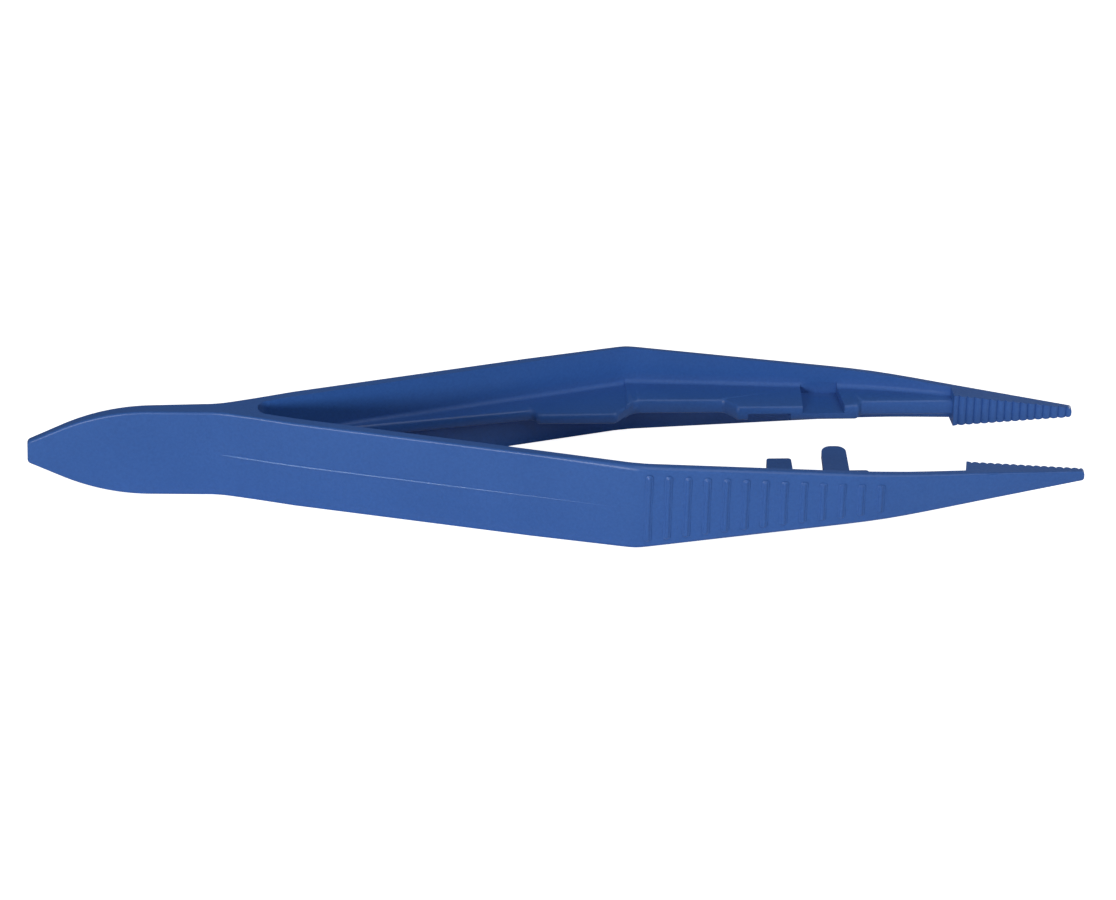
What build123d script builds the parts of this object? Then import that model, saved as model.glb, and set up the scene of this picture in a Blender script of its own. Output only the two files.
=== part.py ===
from build123d import *
import os
from math import cos, radians, sqrt, tan
from numpy import interp

# Disposable thumb forceps, moulded in one piece: a thin spade handle, two T-section arms that part
# at the crotch, a ribbed grip on each arm and a serrated jaw at each tip.
# X runs along the length from the handle to the tips, Y across the opening from the near arm to the
# far arm, and Z up. The forceps lie on the lower edges of their arms, and the origin is on that
# surface at the middle of the length. The mould opens along Z, so the inner forms are plan outlines.

# Lengths along X, one after the other from the end of the handle
handle_length = 22.9
crotch_run = 9.1
arm_run = 40.7
grip_run = 30.0
neck_run = 9.9
pad_length = 14.4

# Plan angles of the outer faces, in degrees: at the crotch and along the arms they spread, and from
# the bend to the tips they close
crotch_angle = 16.2
spread_angle = 13.7
grip_angle = 3.3
jaw_angle = 10.8

# Lengths over which these faces turn softly from one angle into the next
crotch_turn_run = 3.0
bend_turn_run = 2.5
knee_turn_run = 10.0
turn_steps = 4

# Widths of the strip, up and down in Z
strip_width = 11.9
knee_width = 6.45
tip_width = 1.3

# Handle
handle_end_width = 2.95
handle_end_thickness = 1.0
handle_side_angle = 26
handle_shoulder_radius = 24
handle_end_radius = 0.6

# Plates of the arms, with a rounded crotch between them
crotch_thickness = 2.2
crotch_radius = 1.5
crotch_plate_thickness = 1.35
arm_plate_thickness = 1.15
bend_plate_thickness = 1.05
knee_plate_thickness = 1.02
neck_plate_thickness = 1.0

# Outer face of the arms: a crease at mid-height, and crisp edges that grow soft over the finger grip
crease_start_draft = 0.01
crease_draft = 0.12
crease_fade = 4.5
tip_crease_draft = 0.03
crisp_edge_radius = 0.3
soft_edge_radius = 0.7
soft_edge_run = 12.5
knee_edge_radius = 0.5
pad_edge_radius = 0.35
tip_edge_radius = 0.16

# Rib along the middle of each arm, with reaches measured inwards from the outer face
spring_rib_thickness = 1.6
spring_rib_reach = 4.1
stop_gap_to_bend = 1.4
stop_length = 9.6
stop_reach = 5.15
stop_end_reach = 7.5
stop_slope_run = 2.4
grip_rib_thickness = 2.1
shallow_length = 11.9
shallow_reach = 5.15
shallow_end_reach = 4.55
guide_step_run = 1.5
guide_length = 16.3
guide_reach = 6.1
guide_end_reach = 5.1
neck_reach = 4.1
neck_end_reach = 2.25
rib_step_run = 0.5
spring_rib_corner_radius = 0.7
stop_foot_radius = 1.6
grip_rib_corner_radius = 0.7
rib_edge_chamfer = 0.3

# Hollow fillets where the ribs stand on the plates, fading out towards the crotch
root_radius = 0.55
root_fade_radius = 0.1
root_fade_start = 2.0
root_fade_end = 10.0
root_overlap = 0.2

# Guide tongues on the near arm, one in each half of the mould, placed from the start of the guide
lower_tongue_place = 5.8
lower_tongue_width = 3.3
lower_tongue_reach = 9.9
lower_tongue_corner_radius = 0.4
upper_tongue_place = 12.4
upper_tongue_width = 3.25
upper_tongue_reach = 10.35
upper_tongue_corner_radius = 1.2
tongue_taper = 0.3
tongue_play = 0.12

# Slots for them in the far arm
slot_handle_side_gap = 1.3
slot_tip_side_gap = 0.8
slot_taper = 0.9
slot_back_depth = 0.1

# Finger grip: low ribs across the outer face
grip_bar_count = 13
grip_bar_pitch = 2.33
grip_bar_start = 1.25
grip_bar_width = 0.56
grip_bar_height = 0.22
grip_bar_end_gap = 1.5

# Jaw pads with cross serrations
pad_start_thickness = 2.92
pad_start_slope = 0.35
pad_tip_thickness = 0.78
serration_pitch = 0.935
serration_margin = 0.65
serration_depth = 0.26
tip_corner_radius = 0.5

# Places along X, from the middle of the length
overall_length = handle_length + crotch_run + arm_run + grip_run + neck_run + pad_length
x_end = -overall_length / 2
x_crotch = x_end + handle_length
x_arm = x_crotch + crotch_run
x_bend = x_arm + arm_run
x_knee = x_bend + grip_run
x_pad = x_knee + neck_run
x_tip = x_pad + pad_length
x_soft = x_bend - soft_edge_run
x_flare = x_crotch - crotch_turn_run / 2

# Places of the outer face, from the plane between the arms
y_crotch = crotch_thickness / 2
y_arm = y_crotch + crotch_run * tan(radians(crotch_angle))
y_bend = y_arm + arm_run * tan(radians(spread_angle))
y_knee = y_bend - grip_run * tan(radians(grip_angle))
y_tip = y_knee - (neck_run + pad_length) * tan(radians(jaw_angle))

# Where the outer faces turn: place, length of the turn and change of slope
spread_slope = tan(radians(spread_angle))
grip_slope = -tan(radians(grip_angle))
turns = [
    (x_crotch, crotch_turn_run, tan(radians(crotch_angle))),
    (x_bend, bend_turn_run, grip_slope - spread_slope),
    (x_knee, knee_turn_run, -tan(radians(jaw_angle)) - grip_slope),
]

# Places of the sections of an arm, even steps through the turns and one at each other change
section_places = [x_crotch + crease_fade, x_arm, x_soft, x_pad]
for place, run, _ in turns:
    section_places += [place + run * (i / turn_steps - 0.5) for i in range(turn_steps + 1)]
section_places.sort()

# The arms' inner faces touch the round of the crotch where their gap is this wide
crotch_gap = crotch_radius / cos(radians(crotch_angle))
x_round = x_crotch + (crotch_gap + crotch_plate_thickness - y_crotch) / tan(radians(crotch_angle))

# Planes through the middle of the strip's width
middle = strip_width / 2
plan_plane = Plane.XY.offset(middle)
face_plane = Plane(origin=(0, 0, middle), x_dir=(1, 0, 0), z_dir=(0, -1, 0))


# Distance of the far arm's outer face from the plane between the arms: straight runs, with a
# parabola through each turn
def outer_y(x):
    places = (x_crotch, x_arm, x_bend, x_knee, x_tip)
    y = float(interp(x, places, (y_crotch, y_arm, y_bend, y_knee, y_tip)))
    for place, run, turn in turns:
        depth = run / 2 - abs(x - place)
        if depth > 0:
            y += turn * depth**2 / (2 * run)
    return y


# Half of the strip's width: constant to the bend, then narrowing in two straight runs
def half_width(x):
    return float(interp(x, (x_bend, x_knee, x_tip), (strip_width, knee_width, tip_width))) / 2


# Thickness of the plate along Y
def plate_thickness(x):
    places = (x_arm, x_soft, x_bend, x_knee, x_pad)
    thicknesses = (
        crotch_plate_thickness,
        arm_plate_thickness,
        bend_plate_thickness,
        knee_plate_thickness,
        neck_plate_thickness,
    )
    return float(interp(x, places, thicknesses))


# Radius of the plate's outer corners
def edge_radius(x):
    radii = (crisp_edge_radius, soft_edge_radius, knee_edge_radius, pad_edge_radius)
    return float(interp(x, (x_soft, x_bend, x_knee, x_pad), radii))


# Depth of the crease, which grows out of the flat handle
def crease(x):
    return float(interp(x, (x_crotch, x_crotch + crease_fade), (crease_start_draft, crease_draft)))


# Thickness of the jaw pad along Y, from its outer face to the tops of its serrations
def pad_thickness(x):
    return float(interp(x, (x_pad, x_tip), (pad_start_thickness, pad_tip_thickness)))


# Section of the far arm across X: a flat inner face, rounded outer corners and a crease at
# mid-height, where the two halves of the mould meet
def arm_section(x, thickness, corner_radius, crease_depth):
    outside = outer_y(x)
    inside = outside - thickness
    half = half_width(x)
    section_plane = Plane(origin=(x, 0, middle), x_dir=(0, 1, 0), z_dir=(1, 0, 0))
    with BuildSketch(section_plane) as section:
        with BuildLine():
            Polyline(
                (inside, -half),
                (outside - crease_depth, -half),
                (outside, 0),
                (outside - crease_depth, half),
                (inside, half),
                close=True,
            )
        make_face()
        levels = section.vertices().group_by(Axis.Y)
        outer_corners = [levels[0].sort_by(Axis.X)[-1], levels[-1].sort_by(Axis.X)[-1]]
        fillet(outer_corners, corner_radius)
    return section.sketch


# One stretch of an arm's inner rib. Its inner edge is given as (x, reach) pairs with a radius for
# each corner between them, and its back lies in the middle of the plate
def inner_rib(edge, corner_radii, thickness):
    start = edge[0][0]
    end = edge[-1][0]
    inner_points = [(x, outer_y(x) - reach) for x, reach in edge]
    back_places = [end, *(x for x in reversed(section_places) if start < x < end), start]
    back_points = [(x, outer_y(x) - plate_thickness(x) / 2) for x in back_places]
    with BuildPart() as rib:
        with BuildSketch(plan_plane):
            with BuildLine():
                FilletPolyline(*inner_points, radius=corner_radii)
                Polyline(inner_points[-1], *back_points, inner_points[0])
            make_face()
        extrude(amount=thickness / 2, both=True)
        rim = rib.faces().filter_by(Axis.Z).edges()
        free_rim = rim.filter_by(
            lambda e: e.center().Y < outer_y(e.center().X) - 1.5 * plate_thickness(e.center().X)
        )
        chamfer(free_rim, rib_edge_chamfer)
    return rib.part


# Section of the hollow fillet between an arm's plate and the upper side of its rib
def root_section(x, half_thickness, radius):
    inside = outer_y(x) - plate_thickness(x)
    centre = (inside - radius, half_thickness + radius)
    diagonal = radius / sqrt(2)
    hollow = (centre[0] + diagonal, centre[1] - diagonal)
    section_plane = Plane(origin=(x, 0, middle), x_dir=(0, 1, 0), z_dir=(1, 0, 0))
    with BuildSketch(section_plane) as section:
        with BuildLine():
            ThreePointArc((inside, centre[1]), hollow, (centre[0], half_thickness))
            Polyline(
                (centre[0], half_thickness),
                (centre[0], half_thickness - root_overlap),
                (inside + root_overlap, half_thickness - root_overlap),
                (inside + root_overlap, centre[1]),
                (inside, centre[1]),
            )
        make_face()
    return section.sketch


# Spade handle: a thin wedge in plan, trimmed to the spade outline
with BuildPart() as handle:
    with BuildSketch(plan_plane):
        with BuildLine():
            Polyline(
                (x_end, -handle_end_thickness / 2),
                (x_flare, -y_crotch),
                (x_flare, y_crotch),
                (x_end, handle_end_thickness / 2),
                close=True,
            )
        make_face()
    extrude(amount=middle, both=True)
    with BuildSketch(face_plane) as spade:
        with BuildLine():
            side_length = (middle - handle_end_width / 2) / tan(radians(handle_side_angle))
            shoulder = (x_end + side_length, middle)
            side_start = (x_end, handle_end_width / 2)
            FilletPolyline((x_flare, middle), shoulder, side_start, radius=handle_shoulder_radius)
            Polyline(side_start, (x_end, 0), (x_flare, 0), (x_flare, middle))
        make_face()
        mirror(about=Plane.XZ)
        end_corners = spade.vertices().group_by(Axis.X)[0].group_by(Axis.Y)
        fillet([*end_corners[0], *end_corners[-1]], handle_end_radius)
    extrude(amount=crotch_thickness, both=True, mode=Mode.INTERSECT)
    joint_face = handle.faces().sort_by(Axis.X)[-1]
    outline_edges = handle.edges().filter_by(Axis.Z, reverse=True)
    fillet(outline_edges - joint_face.edges(), crisp_edge_radius)

# Web of full width between the starts of the arms, ending in the round of the crotch
with BuildPart() as crotch:
    with BuildSketch(plan_plane):
        web_end = outer_y(x_round) - crotch_plate_thickness / 2
        web_start = y_crotch / 2
        with BuildLine():
            Polyline(
                (x_flare, -web_start),
                (x_round, -web_end),
                (x_round, web_end),
                (x_flare, web_start),
                close=True,
            )
        make_face()
        with Locations((x_round, 0)):
            Circle(crotch_radius, mode=Mode.SUBTRACT)
    extrude(amount=middle, both=True)

# Plate and jaw pad of an arm, as ruled lofts between sections
with BuildPart() as plate:
    loft([arm_section(x, plate_thickness(x), edge_radius(x), crease(x)) for x in section_places], ruled=True)
    pad_stations = [
        (x_pad - pad_start_slope, neck_plate_thickness / 2, pad_edge_radius, crease_draft),
        (x_pad, pad_start_thickness, pad_edge_radius, crease_draft),
        (x_tip, pad_tip_thickness, tip_edge_radius, tip_crease_draft),
    ]
    loft([arm_section(*station) for station in pad_stations], ruled=True)
    with BuildSketch(face_plane):
        with Locations((x_tip, 0)):
            Rectangle(2 * tip_corner_radius, 2 * tip_width)
        with Locations((x_tip - pad_length / 2, 0)):
            rounded_width = 2 * half_width(x_tip - tip_corner_radius)
            RectangleRounded(pad_length, rounded_width, tip_corner_radius, mode=Mode.SUBTRACT)
    extrude(amount=-2 * y_bend, mode=Mode.SUBTRACT)

# Rib of the spring part: it grows out of the crotch and ends in a deep stop before the bend
stop_end = x_bend - stop_gap_to_bend
stop_start = stop_end - stop_length
spring_rib = inner_rib(
    [
        (x_round, crotch_plate_thickness),
        (stop_start - rib_step_run, spring_rib_reach),
        (stop_start, stop_reach),
        (stop_end, stop_end_reach),
        (stop_end + stop_slope_run, shallow_reach),
    ],
    spring_rib_corner_radius,
    spring_rib_thickness,
)

# Rib of the finger grip and the neck: shallow, then the deeper guide, then shallow to the pad
guide_start = x_bend + shallow_length
guide_end = guide_start + guide_length
grip_rib = inner_rib(
    [
        (stop_end + stop_slope_run / 2, (stop_end_reach + shallow_reach) / 2),
        (stop_end + stop_slope_run, shallow_reach),
        (guide_start, shallow_end_reach),
        (guide_start + guide_step_run, guide_reach),
        (guide_end, guide_end_reach),
        (guide_end + rib_step_run, neck_reach),
        (x_pad, neck_end_reach),
    ],
    [stop_foot_radius, *[grip_rib_corner_radius] * 4],
    grip_rib_thickness,
)

# Hollow fillets along both sides of the ribs
with BuildPart() as roots:
    fade_start = x_round + root_fade_start
    fade_end = x_round + root_fade_end
    fade_section = root_section(fade_start, spring_rib_thickness / 2, root_fade_radius)
    full_places = [fade_end, *(x for x in section_places if fade_end < x <= x_bend)]
    full_sections = [root_section(x, spring_rib_thickness / 2, root_radius) for x in full_places]
    loft([fade_section, *full_sections], ruled=True)
    grip_places = [x for x in section_places if x >= x_bend]
    loft([root_section(x, grip_rib_thickness / 2, root_radius) for x in grip_places], ruled=True)
    mirror(about=plan_plane)

# Bars of the finger grip, cut to length so that they end short of the soft edges
with BuildPart() as grip_bars:
    with BuildSketch(plan_plane):
        for i in range(grip_bar_count):
            x = x_bend + grip_bar_start + i * grip_bar_pitch
            with BuildLine():
                root = outer_y(x) - plate_thickness(x) / 2
                foot = outer_y(x) - grip_bar_height
                left = (x - grip_bar_width / 2, foot)
                right = (x + grip_bar_width / 2, foot)
                ThreePointArc(left, (x, outer_y(x) + grip_bar_height), right)
                Polyline(right, (x + grip_bar_width / 2, root), (x - grip_bar_width / 2, root), left)
            make_face()
    extrude(amount=middle, both=True)
    with BuildSketch(face_plane):
        with BuildLine():
            bend_half = half_width(x_bend) - grip_bar_end_gap
            knee_half = half_width(x_knee) - grip_bar_end_gap
            Polyline(
                (x_bend, -bend_half),
                (x_knee, -knee_half),
                (x_knee, knee_half),
                (x_bend, bend_half),
                close=True,
            )
        make_face()
    extrude(amount=-2 * y_bend, mode=Mode.INTERSECT)

# Cutter for the serrations: one groove after another along the pad's inner face, with rounded ridges
# left between them
groove_count = round((pad_length - 2 * serration_margin) / serration_pitch) + 1
groove_first = (x_pad + x_tip - (groove_count - 1) * serration_pitch) / 2
with BuildPart() as serrations:
    with BuildSketch(plan_plane):
        for i in range(groove_count):
            x = groove_first + i * serration_pitch
            bottom = (x, outer_y(x) - pad_thickness(x) + serration_depth)
            ridge_xs = (x - serration_pitch / 2, x + serration_pitch / 2)
            left, right = [(ridge_x, outer_y(ridge_x) - pad_thickness(ridge_x)) for ridge_x in ridge_xs]
            with BuildLine():
                TangentArc(left, bottom, tangent=(1, 0))
                TangentArc(right, bottom, tangent=(-1, 0))
                Polyline(
                    left,
                    (left[0], left[1] - serration_depth),
                    (right[0], right[1] - serration_depth),
                    right,
                )
            make_face()
    extrude(amount=middle, both=True)

# A whole arm, as on the far side
with BuildPart() as arm:
    add(plate.part)
    add(spring_rib)
    add(grip_rib)
    add(roots.part)
    add(grip_bars.part)
    add(serrations.part, mode=Mode.SUBTRACT)


# The two guides: place, width, reach and corner radius of the tongue, and the side of the mid-plane
# that it is on
guides = [
    (lower_tongue_place, lower_tongue_width, lower_tongue_reach, lower_tongue_corner_radius, -1),
    (upper_tongue_place, upper_tongue_width, upper_tongue_reach, upper_tongue_corner_radius, 1),
]
half_rib = grip_rib_thickness / 2

# Tongues of the near arm, each in its own half of the rib's thickness, narrowing to a rounded end
with BuildPart() as tongues:
    for place, width, reach, corner_radius, side in guides:
        x = guide_start + place
        root = -outer_y(x) + plate_thickness(x) / 2
        tip = -outer_y(x) + reach
        tip_half = (width - tongue_taper) / 2
        with BuildSketch(plan_plane.offset(side * tongue_play)) as outline:
            with BuildLine():
                Polyline(
                    (x - width / 2, root),
                    (x - tip_half, tip),
                    (x + tip_half, tip),
                    (x + width / 2, root),
                    close=True,
                )
            make_face()
            fillet(outline.vertices().group_by(Axis.Y)[-1], corner_radius)
        extrude(amount=side * (half_rib - tongue_play))

# Slots of the far arm, cut through half of the guide's thickness and a little into the plate. The
# wall towards the tips leans, so that a tongue clears it as the arms swing shut
with BuildPart() as slots:
    for place, width, _, _, side in guides:
        x = guide_start + place
        mouth = outer_y(x) - guide_reach - grip_rib_corner_radius
        back = outer_y(x) - plate_thickness(x) + slot_back_depth
        left = x - width / 2 - slot_handle_side_gap
        right = x + width / 2 + slot_tip_side_gap
        with BuildSketch(plan_plane):
            with BuildLine():
                Polyline((left, mouth), (left, back), (right - slot_taper, back), (right, mouth), close=True)
            make_face()
        extrude(amount=side * (half_rib + root_radius))

# The forceps
with BuildPart() as forceps:
    add(handle.part)
    add(crotch.part)
    add(arm.part)
    mirror(arm.part, about=Plane.XZ)
    add(tongues.part)
    add(slots.part, mode=Mode.SUBTRACT)

forceps.part.label = "forceps"
os.makedirs("parts", exist_ok=True)
export_step(forceps.part, "parts/forceps.step")
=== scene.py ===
from math import pi, radians

import bmesh
import bpy
from mathutils import Matrix, Vector


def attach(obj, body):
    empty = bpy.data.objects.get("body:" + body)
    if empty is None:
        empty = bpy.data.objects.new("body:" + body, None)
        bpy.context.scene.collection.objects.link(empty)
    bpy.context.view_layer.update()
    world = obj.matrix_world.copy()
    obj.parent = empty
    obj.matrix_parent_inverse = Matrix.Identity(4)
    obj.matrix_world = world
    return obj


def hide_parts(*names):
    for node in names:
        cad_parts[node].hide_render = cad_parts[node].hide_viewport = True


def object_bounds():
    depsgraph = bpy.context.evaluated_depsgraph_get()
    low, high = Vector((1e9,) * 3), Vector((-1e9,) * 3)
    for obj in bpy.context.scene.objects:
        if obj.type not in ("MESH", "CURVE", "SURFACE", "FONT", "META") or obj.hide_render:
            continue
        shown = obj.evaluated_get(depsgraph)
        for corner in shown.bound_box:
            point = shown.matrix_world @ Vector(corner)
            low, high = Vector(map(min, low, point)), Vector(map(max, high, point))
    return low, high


# Blue plastic thumb forceps, lying open on a pale floor.
# X runs from the handle to the tips, Y across the opening, Z up, in metres.

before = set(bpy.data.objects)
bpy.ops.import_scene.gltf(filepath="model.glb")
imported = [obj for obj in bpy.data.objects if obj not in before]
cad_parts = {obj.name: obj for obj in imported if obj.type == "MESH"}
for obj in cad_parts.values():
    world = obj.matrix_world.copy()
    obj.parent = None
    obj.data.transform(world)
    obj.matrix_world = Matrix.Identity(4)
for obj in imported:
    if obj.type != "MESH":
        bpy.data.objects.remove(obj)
cadBox = [list(corner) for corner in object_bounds()]
mm = 0.001
middleHeight = (cadBox[0][2] + cadBox[1][2]) / 2
print("frame loaded:", ", ".join(sorted(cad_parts)))


# a new node, with its inputs linked to sockets or set to values
def linked(tree, kind, inputs=None, **settings):
    node = tree.nodes.new(kind)
    for name, value in settings.items():
        setattr(node, name, value)
    for name, value in (inputs or {}).items():
        if isinstance(value, bpy.types.NodeSocket):
            tree.links.new(value, node.inputs[name])
        else:
            node.inputs[name].default_value = value
    return node


def mathNode(tree, operation, first, second=0.0):
    return linked(tree, "ShaderNodeMath", {0: first, 1: second}, operation=operation).outputs[0]


def splitPosition(tree):
    position = linked(tree, "GeometryNodeInputPosition").outputs[0]
    return linked(tree, "ShaderNodeSeparateXYZ", {0: position}).outputs


# opens a tree of Geometry Nodes with an input for each size and one for the finish
def startTree(name, sizes):
    tree = bpy.data.node_groups.new(name, "GeometryNodeTree")
    sockets = tree.interface
    sockets.new_socket("Geometry", in_out="INPUT", socket_type="NodeSocketGeometry")
    for label, value in sizes.items():
        kind = "NodeSocketInt" if isinstance(value, int) else "NodeSocketFloat"
        sockets.new_socket(label, in_out="INPUT", socket_type=kind)
    sockets.new_socket("finish", in_out="INPUT", socket_type="NodeSocketMaterial")
    sockets.new_socket("Geometry", in_out="OUTPUT", socket_type="NodeSocketGeometry")
    return tree, tree.nodes.new("NodeGroupInput").outputs


# closes a tree with real faces, shaded smooth, in its finish
def endTree(tree, geometry, finish):
    real = linked(tree, "GeometryNodeRealizeInstances", {"Geometry": geometry})
    smooth = linked(tree, "GeometryNodeSetShadeSmooth", {"Geometry": real.outputs[0]})
    dressed = linked(tree, "GeometryNodeSetMaterial", {"Geometry": smooth.outputs[0], "Material": finish})
    result = tree.nodes.new("NodeGroupOutput")
    tree.links.new(dressed.outputs[0], result.inputs[0])


# runs a tree on a mesh and keeps the result as a plain piece
def builtByNodes(name, mesh, tree, values):
    holder = bpy.data.objects.new(name + "Holder", mesh)
    bpy.context.scene.collection.objects.link(holder)
    modifier = holder.modifiers.new(name, "NODES")
    modifier.node_group = tree
    for item in tree.interface.items_tree:
        if item.in_out == "INPUT" and item.name in values:
            modifier[item.identifier] = values[item.name]
    made = holder.evaluated_get(bpy.context.evaluated_depsgraph_get())
    plain = bpy.data.meshes.new_from_object(made)
    plain.name = name
    bpy.data.objects.remove(holder)
    piece = bpy.data.objects.new(name, plain)
    bpy.context.scene.collection.objects.link(piece)
    return piece


# Moulded plastic with a fine grain from the mould
bluePlastic = {
    "colour": (0.042, 0.145, 0.472, 1),
    "deepColour": (0.027, 0.098, 0.343, 1),
    "roughness": 0.36,
    "roughnessSpread": 0.07,
    "refraction": 1.49,
    "flowSize": 11 * mm,
    "flowDetail": 3.0,
    "speckDetail": 1.0,
    "grainSize": 0.34 * mm,
    "grainDetail": 2.0,
    "grainTone": 0.6,                     # how much of the tone follows the grain, and not the flow
    "grainDepth": 0.04 * mm,
    "grainStrength": 0.6,
    "hollowReach": 1.4 * mm,
    "hollowShade": 0.6,                   # openness at which a corner is fully matt
    "hollowRoughness": 0.60,
    "hollowSamples": 8,
}

# The same plastic along the mould line: smoother, with a paler colour that is a painted highlight on the
# bead
paintedHighlightPlastic = dict(
    bluePlastic,
    colour=(0.090, 0.215, 0.560, 1),
    deepColour=(0.070, 0.175, 0.480, 1),
    roughness=0.24,
    hollowRoughness=0.0,
)


def makePlastic(name, plan):
    material = bpy.data.materials.new(name)
    material.use_nodes = True
    tree = material.node_tree
    tree.nodes.clear()
    place = linked(tree, "ShaderNodeTexCoord").outputs["Object"]

    def noise(size, detail):
        inputs = {"Vector": place, "Scale": 1 / size, "Detail": detail}
        return linked(tree, "ShaderNodeTexNoise", inputs).outputs["Fac"]

    # slow flow marks in tone and gloss, with specks of the grain in the tone
    flow = noise(plan["flowSize"], plan["flowDetail"])
    speck = noise(plan["grainSize"], plan["speckDetail"])
    share = linked(tree, "ShaderNodeMix", {0: plan["grainTone"], 2: flow, 3: speck})
    tone = linked(tree, "ShaderNodeMix", {
        0: share.outputs[0], 6: plan["deepColour"], 7: plan["colour"],
    }, data_type="RGBA")
    gloss = linked(tree, "ShaderNodeMapRange", {
        "Value": flow,
        "To Min": plan["roughness"] - plan["roughnessSpread"],
        "To Max": plan["roughness"] + plan["roughnessSpread"],
    })

    # hollow corners stay matt, because the mould wasn't polished there
    corner = linked(tree, "ShaderNodeAmbientOcclusion", {
        "Distance": plan["hollowReach"],
    }, samples=plan["hollowSamples"])
    hollow = linked(tree, "ShaderNodeMapRange", {
        "Value": corner.outputs["AO"],
        "From Min": 1.0,
        "From Max": plan["hollowShade"],
        "To Max": plan["hollowRoughness"],
    })
    matt = mathNode(tree, "ADD", gloss.outputs["Result"], hollow.outputs["Result"])

    bump = linked(tree, "ShaderNodeBump", {
        "Height": noise(plan["grainSize"], plan["grainDetail"]),
        "Strength": plan["grainStrength"],
        "Distance": plan["grainDepth"],
    })
    shader = linked(tree, "ShaderNodeBsdfPrincipled", {
        "Base Color": tone.outputs[2],
        "Roughness": matt,
        "IOR": plan["refraction"],
        "Normal": bump.outputs["Normal"],
    })
    linked(tree, "ShaderNodeOutputMaterial", {"Surface": shader.outputs["BSDF"]})
    return material


plastic = makePlastic("bluePlastic", bluePlastic)
# the mould line's finish, whose paler colour is a painted highlight
paintedHighlight = makePlastic("paintedHighlightPlastic", paintedHighlightPlastic)
print("materials made:", plastic.name, paintedHighlight.name)


# Shell of the forceps: the CAD form, welded and shaded smooth
shellShape = {
    "weldDistance": 0.002 * mm,
    "sharpAngle": 50,                     # edges that turn more than this stay crisp
    "normalWeight": 80,
}


def makeShell(node, plan):
    mesh = node.data.copy()
    mesh.name = "forcepsShell"
    work = bmesh.new()
    work.from_mesh(mesh)
    bmesh.ops.remove_doubles(work, verts=work.verts, dist=plan["weldDistance"])
    bmesh.ops.dissolve_degenerate(work, edges=work.edges, dist=plan["weldDistance"])
    bmesh.ops.recalc_face_normals(work, faces=work.faces)
    for face in work.faces:
        face.smooth = True
    for edge in work.edges:
        edge.smooth = edge.is_manifold and edge.calc_face_angle(0) < radians(plan["sharpAngle"])
    work.to_mesh(mesh)
    work.free()
    mesh.materials.clear()
    mesh.materials.append(plastic)
    shell = bpy.data.objects.new("forcepsShell", mesh)
    bpy.context.scene.collection.objects.link(shell)
    soften = shell.modifiers.new("faceNormals", "WEIGHTED_NORMAL")
    soften.keep_sharp = True
    soften.weight = plan["normalWeight"]
    return shell


shell = makeShell(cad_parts["forceps"], shellShape)
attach(shell, "root")
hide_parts("forceps")
print("shell made:", len(shell.data.polygons), "faces")


# Ribs of the finger grip, which stand on both outer faces from the bend to the knee
gripRibs = {
    "count": 13,
    "firstPlace": 10.45 * mm,
    "pitch": 2.33 * mm,
    "bendPlace": 9.2 * mm,
    "bendReach": 13.666 * mm,             # of the outer face from the middle, at the bend
    "closingAngle": 3.3,                  # in degrees
    "turnPlace": 34.2 * mm,               # from here the face turns towards the tips
    "turnRate": 6.65,                     # and falls by this times the square of the distance
    "middleHeight": middleHeight,
    "halfWidth": 0.48 * mm,
    "crest": 0.2330 * mm,
    "sinkDepth": 0.0125 * mm,
    "firstLength": 8.68 * mm,             # of the straight run between the round ends
    "lastLength": 3.60 * mm,
    "segments": 24,
    "rings": 31,                          # odd, so that no ring lies at the middle and stays behind
}


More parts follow.
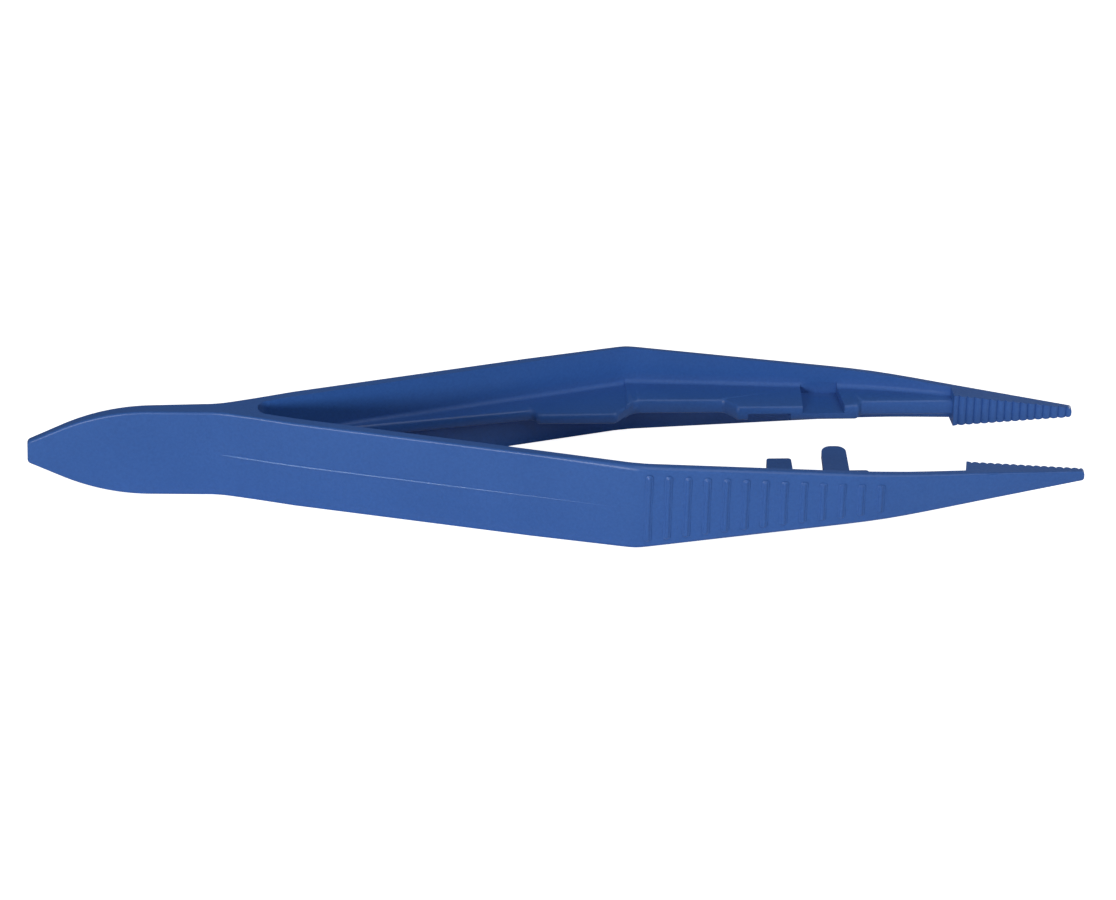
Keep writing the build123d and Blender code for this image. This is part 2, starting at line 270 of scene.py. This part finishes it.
def makeGripRibTree(plan):
    tree, given = startTree("gripRibTree", plan)

    # a row along the far arm's outer face, and its mirror image on the near arm
    offset = linked(tree, "ShaderNodeCombineXYZ", {"X": given["pitch"]})
    start = linked(tree, "ShaderNodeCombineXYZ", {"X": given["firstPlace"], "Z": given["middleHeight"]})
    row = linked(tree, "GeometryNodeMeshLine", {
        "Count": given["count"], "Start Location": start.outputs[0], "Offset": offset.outputs[0],
    }, mode="OFFSET")
    place = splitPosition(tree)
    past = mathNode(tree, "SUBTRACT", place["X"], given["bendPlace"])
    slope = mathNode(tree, "TANGENT", mathNode(tree, "RADIANS", given["closingAngle"]))
    flat = mathNode(tree, "SUBTRACT", given["bendReach"], mathNode(tree, "MULTIPLY", past, slope))
    pastTurn = mathNode(tree, "SUBTRACT", place["X"], given["turnPlace"])
    turned = mathNode(tree, "MAXIMUM", pastTurn, 0.0)
    drop = mathNode(tree, "MULTIPLY", mathNode(tree, "MULTIPLY", turned, turned), given["turnRate"])
    face = mathNode(tree, "SUBTRACT", flat, drop)
    sunk = mathNode(tree, "SUBTRACT", face, given["sinkDepth"])
    shift = linked(tree, "ShaderNodeCombineXYZ", {"Y": sunk})
    farRow = linked(tree, "GeometryNodeSetPosition", {
        "Geometry": row.outputs[0], "Offset": shift.outputs[0],
    })
    nearRow = linked(tree, "GeometryNodeTransform", {
        "Geometry": farRow.outputs[0], "Scale": (1, -1, 1),
    })
    both = linked(tree, "GeometryNodeJoinGeometry")
    tree.links.new(farRow.outputs[0], both.inputs[0])
    tree.links.new(nearRow.outputs[0], both.inputs[0])

    # one rib: a ball drawn out to a bar with round ends, and pressed to a soft swell on both sides
    ball = linked(tree, "GeometryNodeMeshUVSphere", {
        "Segments": given["segments"], "Rings": given["rings"], "Radius": 1.0,
    })
    on = splitPosition(tree)
    rest = mathNode(tree, "SUBTRACT", 1.0, mathNode(tree, "MULTIPLY", on["Y"], on["Y"]))
    away = mathNode(tree, "SQRT", mathNode(tree, "MAXIMUM", rest, 0.0))
    wave = mathNode(tree, "COSINE", mathNode(tree, "MULTIPLY", away, pi))
    swell = mathNode(tree, "MULTIPLY", mathNode(tree, "ADD", wave, 1.0), 0.5)
    height = mathNode(tree, "MULTIPLY", swell, given["crest"])
    proud = mathNode(tree, "MULTIPLY", height, mathNode(tree, "SIGN", on["Y"]))
    half = mathNode(tree, "MULTIPLY", given["firstLength"], 0.5)
    drawn = mathNode(tree, "MULTIPLY", mathNode(tree, "SIGN", on["Z"]), half)
    along = mathNode(tree, "ADD", mathNode(tree, "MULTIPLY", on["Z"], given["halfWidth"]), drawn)
    across = mathNode(tree, "MULTIPLY", on["X"], given["halfWidth"])
    shaped = linked(tree, "ShaderNodeCombineXYZ", {"X": across, "Y": proud, "Z": along})
    bar = linked(tree, "GeometryNodeSetPosition", {
        "Geometry": ball.outputs["Mesh"], "Position": shaped.outputs[0],
    })

    # the ribs grow shorter from the bend to the knee
    index = linked(tree, "GeometryNodeInputIndex").outputs[0]
    order = mathNode(tree, "MODULO", index, given["count"])
    part = mathNode(tree, "DIVIDE", order, mathNode(tree, "SUBTRACT", given["count"], 1.0))
    ratio = mathNode(tree, "DIVIDE", given["lastLength"], given["firstLength"])
    length = linked(tree, "ShaderNodeMapRange", {"Value": part, "To Min": 1.0, "To Max": ratio})
    size = linked(tree, "ShaderNodeCombineXYZ", {"X": 1.0, "Y": 1.0, "Z": length.outputs["Result"]})
    ribs = linked(tree, "GeometryNodeInstanceOnPoints", {
        "Points": both.outputs[0], "Instance": bar.outputs[0], "Scale": size.outputs[0],
    })
    endTree(tree, ribs.outputs[0], given["finish"])
    return tree


ribStart = bpy.data.meshes.new("gripRibStart")
ribs = builtByNodes("gripRibs", ribStart, makeGripRibTree(gripRibs), dict(gripRibs, finish=plastic))
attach(ribs, "root")
print("grip ribs made:", len(ribs.data.polygons), "faces")


# Mould line: a fine bead on both outer faces, where the two halves of the mould met
mouldLine = {
    "route": (                            # the far arm's line in plan, in mm
        (-40.4, 1.235), (-39.6, 1.397), (-39.1, 1.536), (-31.5, 3.744), (7.95, 13.361),
    ),
    "beadRadius": 0.15 * mm,
    "beadSides": 10,
    "stepCount": 60,
    "startFade": 1.2 * mm,
    "endFade": 20.0 * mm,
    "thinning": 0.5,                      # how much of its width the bead loses along its way
    "leastWidth": 0.02,
}


def makeMouldLineTree(plan):
    sizes = {name: value for name, value in plan.items() if name != "route"}
    tree, given = startTree("mouldLineTree", sizes)
    path = linked(tree, "GeometryNodeMeshToCurve", {"Mesh": given["Geometry"]})
    fine = linked(tree, "GeometryNodeResampleCurve", {"Curve": path.outputs[0], "Count": given["stepCount"]})
    run = linked(tree, "GeometryNodeSplineParameter").outputs
    whole = linked(tree, "GeometryNodeSplineLength").outputs["Length"]
    rise = mathNode(tree, "MINIMUM", mathNode(tree, "DIVIDE", run["Length"], given["startFade"]), 1.0)
    toEnd = mathNode(tree, "SUBTRACT", whole, run["Length"])
    fall = mathNode(tree, "MINIMUM", mathNode(tree, "DIVIDE", toEnd, given["endFade"]), 1.0)
    fade = mathNode(tree, "MULTIPLY", rise, fall)
    lost = mathNode(tree, "MULTIPLY", run["Factor"], given["thinning"])
    width = mathNode(tree, "MULTIPLY", fade, mathNode(tree, "SUBTRACT", 1.0, lost))
    kept = mathNode(tree, "MAXIMUM", width, given["leastWidth"])
    ring = linked(tree, "GeometryNodeCurvePrimitiveCircle", {
        "Resolution": given["beadSides"], "Radius": given["beadRadius"],
    })
    bead = linked(tree, "GeometryNodeCurveToMesh", {
        "Curve": fine.outputs[0], "Profile Curve": ring.outputs[0], "Scale": kept, "Fill Caps": True,
    })
    endTree(tree, bead.outputs[0], given["finish"])
    return tree


def makeMouldLine(plan):
    far = [Vector((x * mm, y * mm, middleHeight)) for x, y in plan["route"]]
    near = [Vector((point.x, -point.y, point.z)) for point in far]
    count = len(far)
    runs = [(i, i + 1) for i in range(count - 1)]
    path = bpy.data.meshes.new("mouldLinePath")
    path.from_pydata(far + near, runs + [(count + a, count + b) for a, b in runs], [])
    return builtByNodes("mouldLine", path, makeMouldLineTree(plan), dict(plan, finish=paintedHighlight))


line = makeMouldLine(mouldLine)
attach(line, "root")
print("mould line made:", len(line.data.polygons), "faces")


# Pale floor, which the camera sees as white apart from the forceps' shadow
paleFloor = {
    "colour": (0.85, 0.86, 0.87, 1),
    "lift": 0.93,                         # what the camera sees on top of the lit floor
    "reach": 3.0,
}


def makeFloor(plan):
    mesh = bpy.data.meshes.new("floor")
    reach = plan["reach"]
    corners = [(-reach, -reach, 0), (reach, -reach, 0), (reach, reach, 0), (-reach, reach, 0)]
    mesh.from_pydata(corners, [], [(0, 1, 2, 3)])
    floor = bpy.data.objects.new("floor", mesh)
    bpy.context.scene.collection.objects.link(floor)
    material = bpy.data.materials.new("floorPaper")
    material.use_nodes = True
    tree = material.node_tree
    tree.nodes.clear()
    paper = linked(tree, "ShaderNodeBsdfDiffuse", {"Color": plan["colour"]})
    seen = linked(tree, "ShaderNodeLightPath").outputs["Is Camera Ray"]
    lift = linked(tree, "ShaderNodeEmission", {"Strength": mathNode(tree, "MULTIPLY", seen, plan["lift"])})
    surface = linked(tree, "ShaderNodeAddShader", {0: paper.outputs[0], 1: lift.outputs[0]})
    linked(tree, "ShaderNodeOutputMaterial", {"Surface": surface.outputs[0]})
    mesh.materials.append(material)


makeFloor(paleFloor)
print("floor made")


# Soft lamps, and a pale room that is white to the camera
studio = {
    "ambient": 0.168,
    "seenStrength": 1.0,                  # of the room as the camera sees it
    "aim": (0.005, 0, 0.006),
    "lamps": {                            # place, width and power of each
        "keyLamp": ((-0.30, -0.66, 0.19), 0.22, 2.64),   # front left and low, so that upward faces stay dark
        "fillLamp": ((0.30, -0.40, 0.70), 0.8, 2.08),
        "backLamp": ((0.42, 0.60, 0.08), 0.3, 1.6),      # lights the far arm's outer face
    },
}


def makeRoom(ambient, seenStrength):
    world = bpy.data.worlds.new("paleRoom")
    bpy.context.scene.world = world
    world.use_nodes = True
    tree = world.node_tree
    tree.nodes.clear()
    path = linked(tree, "ShaderNodeLightPath").outputs
    seen = mathNode(tree, "MAXIMUM", path["Is Camera Ray"], path["Is Transmission Ray"])
    strength = linked(tree, "ShaderNodeMapRange", {
        "Value": seen, "To Min": ambient, "To Max": seenStrength,
    })
    sky = linked(tree, "ShaderNodeBackground", {
        "Color": (1, 1, 1, 1), "Strength": strength.outputs["Result"],
    })
    linked(tree, "ShaderNodeOutputWorld", {"Surface": sky.outputs[0]})


def makeLamp(name, place, width, power, aim):
    lamp = bpy.data.lights.new(name, "AREA")
    lamp.shape = "DISK"
    lamp.size = width
    lamp.energy = power
    holder = bpy.data.objects.new(name, lamp)
    holder.location = place
    holder.rotation_euler = (Vector(aim) - Vector(place)).to_track_quat("-Z", "Y").to_euler()
    bpy.context.scene.collection.objects.link(holder)


makeRoom(studio["ambient"], studio["seenStrength"])
for lampName, (place, width, power) in studio["lamps"].items():
    makeLamp(lampName, place, width, power, studio["aim"])
print("studio made")


# Camera where the photograph was taken from
cameraPlan = {
    "place": (-0.051839, -0.728137, 0.493498),
    "forward": (0.0595, 0.8292, -0.5558),
    "up": (0.0077, 0.5564, 0.8309),
    "lens": 234.58,                       # in mm, on a sensor of the width below
    "sensorWidth": 36,
    "nearest": 0.01,
    "farthest": 20,
}


def makeCamera(plan):
    data = bpy.data.cameras.new("photoCamera")
    data.sensor_width = plan["sensorWidth"]
    data.sensor_fit = "HORIZONTAL"
    data.lens = plan["lens"]
    data.clip_start = plan["nearest"]
    data.clip_end = plan["farthest"]
    camera = bpy.data.objects.new("photoCamera", data)
    forward = Vector(plan["forward"]).normalized()
    right = forward.cross(Vector(plan["up"])).normalized()
    up = right.cross(forward)
    turn = Matrix((right, up, -forward)).transposed()
    camera.matrix_world = Matrix.Translation(plan["place"]) @ turn.to_4x4()
    bpy.context.scene.collection.objects.link(camera)
    bpy.context.scene.camera = camera


makeCamera(cameraPlan)
bpy.context.scene.view_settings.view_transform = "Standard"
print("camera made")
